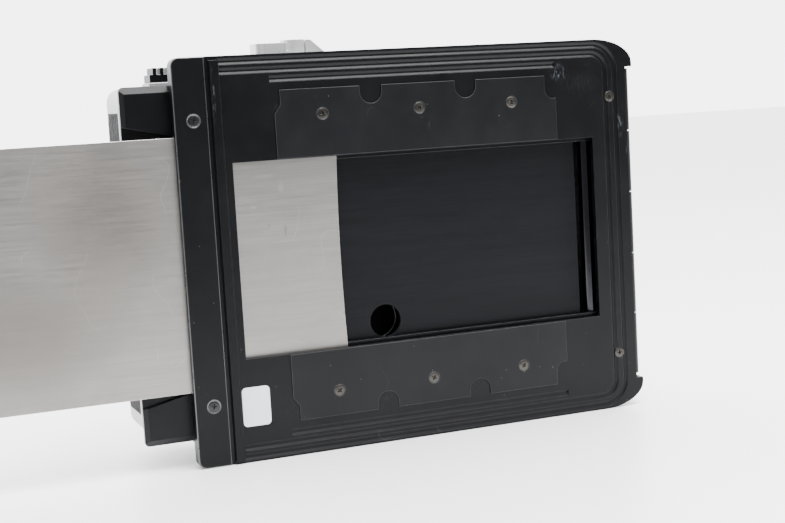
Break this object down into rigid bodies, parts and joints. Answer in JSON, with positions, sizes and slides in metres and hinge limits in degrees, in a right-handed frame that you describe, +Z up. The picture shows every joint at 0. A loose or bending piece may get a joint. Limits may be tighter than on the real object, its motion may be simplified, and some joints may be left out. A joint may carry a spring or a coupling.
{
  "type": "roll film holder",
  "caption": "Roll film holder with a flat mounting plate, a sliding metal dark slide, a hinged rear cover with a latch, and a wind lever on its top deck.",
  "frame": {"origin": "middle of the exposure opening, on the mounting plane of the front plate", "axes": "+X to the right seen from the front, +Y into the body, away from the camera it is mounted on, +Z up towards the wind lever"},
  "size_m": [0.2555, 0.0418, 0.1252],
  "materials": {
    "black_casting": "satin black paint",
    "black_plate": "satin black paint",
    "pressure_black": "brushed, black anodised",
    "dark_screw": "blackened steel",
    "steel_screw": "plain steel",
    "slide_steel": "brushed stainless steel",
    "polished_steel": "polished steel",
    "spring_steel": "spring steel",
    "brass": "machined brass",
    "silver_metal": "satin chrome",
    "leatherette": "pebbled black leatherette",
    "felt": "black light-trap felt and foam",
    "spool_plastic": "black film spool",
    "dial_white": "white counter dial",
    "clear_window": "clear window",
    "red_window": "red film window",
    "label_paper": "white paper label"
  },
  "bodies": {
    "holder": {"mount_plate": "black_casting", "slide_cap": "black_casting", "cap_screws": "dark_screw", "upper_mask_plate": "black_plate", "lower_mask_plate": "black_plate", "mask_screws": "steel_screw", "end_screws": "dark_screw", "slot_felts": "felt", "felt_spring": "spring_steel", "gate_frame": "black_plate", "casing": "black_casting", "film_insert": "black_plate", "insert_screws": "steel_screw", "roller_pins": "polished_steel", "plate_springs": "spring_steel", "spool_pins": "polished_steel", "tension_spring": "spring_steel", "idler_post": "polished_steel", "gear_plate": "brass", "gear_plate_posts": "steel_screw", "lever_bush": "brass", "lever_spring": "spring_steel", "lever_housing": "silver_metal", "counter_post": "polished_steel", "counter_bezel": "silver_metal", "counter_window": "clear_window", "hinge_pin": "polished_steel", "latch_catch": "spring_steel", "paper_label": "label_paper"},
    "dark_slide": {"dark_slide": "slide_steel", "slide_handle": "black_plate", "handle_rivets": "steel_screw"},
    "pressure_plate": {"pressure_plate": "pressure_black", "plate_posts": "polished_steel"},
    "left_roller": {"left_guide_roller": "polished_steel"},
    "right_roller": {"right_guide_roller": "polished_steel"},
    "take_up": {"take_up_spool": "spool_plastic", "drive_key": "polished_steel", "take_up_gear": "brass"},
    "idler": {"idler_gear": "brass"},
    "wind_lever": {"wind_lever": "silver_metal", "lever_screw": "steel_screw", "lever_shaft": "polished_steel", "lever_gear": "brass", "clutch_drum": "polished_steel"},
    "counter": {"counter_gear": "brass", "counter_dial": "dial_white"},
    "rear_cover": {"rear_cover": "silver_metal", "leatherette": "leatherette", "cover_seal": "felt", "hinge_leaf": "black_casting", "latch_base": "silver_metal", "latch_spring": "spring_steel", "window_frame": "silver_metal", "window_lens": "red_window"},
    "latch": {"latch_slider": "black_plate"},
    "shutter": {"window_shutter": "black_plate"}
  },
  "joints": [
    {"name": "dark_slide_pull", "type": "slide", "parent": "holder", "child": "dark_slide", "axis": [-1, 0, 0], "range_m": [-0.088, 0.056]},
    {"name": "pressure_plate_travel", "type": "slide", "parent": "holder", "child": "pressure_plate", "axis": [0, 1, 0], "range_m": [0, 0.0025], "stiffness_N_per_m": 300, "springref_m": -0.004, "deforming": ["plate_springs"]},
    {"name": "left_roller_spin", "type": "hinge", "parent": "holder", "child": "left_roller", "pos_m": [-0.0605, 0.0067, 0], "axis": [0, 0, 1], "continuous": true},
    {"name": "right_roller_spin", "type": "hinge", "parent": "holder", "child": "right_roller", "pos_m": [0.0605, 0.0067, 0], "axis": [0, 0, 1], "continuous": true},
    {"name": "wind_lever_turn", "type": "hinge", "parent": "holder", "child": "wind_lever", "pos_m": [-0.03279, 0.02, 0.06], "axis": [0, 0, 1], "range_deg": [-95, 0], "stiffness_Nm_per_rad": 0.02, "springref_deg": 22.92},
    {"name": "idler_turn", "type": "hinge", "parent": "holder", "child": "idler", "pos_m": [-0.0534, 0.02281, 0.042], "axis": [0, 0, 1], "range_deg": [0, 112]},
    {"name": "take_up_turn", "type": "hinge", "parent": "holder", "child": "take_up", "pos_m": [-0.075, 0.023, 0], "axis": [0, 0, 1], "range_deg": [-90, 0]},
    {"name": "counter_turn", "type": "hinge", "parent": "holder", "child": "counter", "pos_m": [-0.0494, 0.01588, 0.045], "axis": [0, 0, 1], "range_deg": [-38, 0]},
    {"name": "rear_cover_swing", "type": "hinge", "parent": "holder", "child": "rear_cover", "pos_m": [0.0752, 0.0072, 0], "axis": [0, 0, -1], "range_deg": [0, 95]},
    {"name": "latch_slide", "type": "slide", "parent": "rear_cover", "child": "latch", "axis": [1, 0, 0], "range_m": [0, 0.0035], "stiffness_N_per_m": 80, "springref_m": -0.004},
    {"name": "window_shutter_slide", "type": "slide", "parent": "rear_cover", "child": "shutter", "axis": [1, 0, 0], "range_m": [0, 0.013]}
  ],
  "couplings": [
    {"joint": "idler_turn", "follows": "wind_lever_turn", "ratio": -1.1667},
    {"joint": "take_up_turn", "follows": "wind_lever_turn", "ratio": 0.93333},
    {"joint": "counter_turn", "follows": "wind_lever_turn", "ratio": 0.38889}
  ]
}
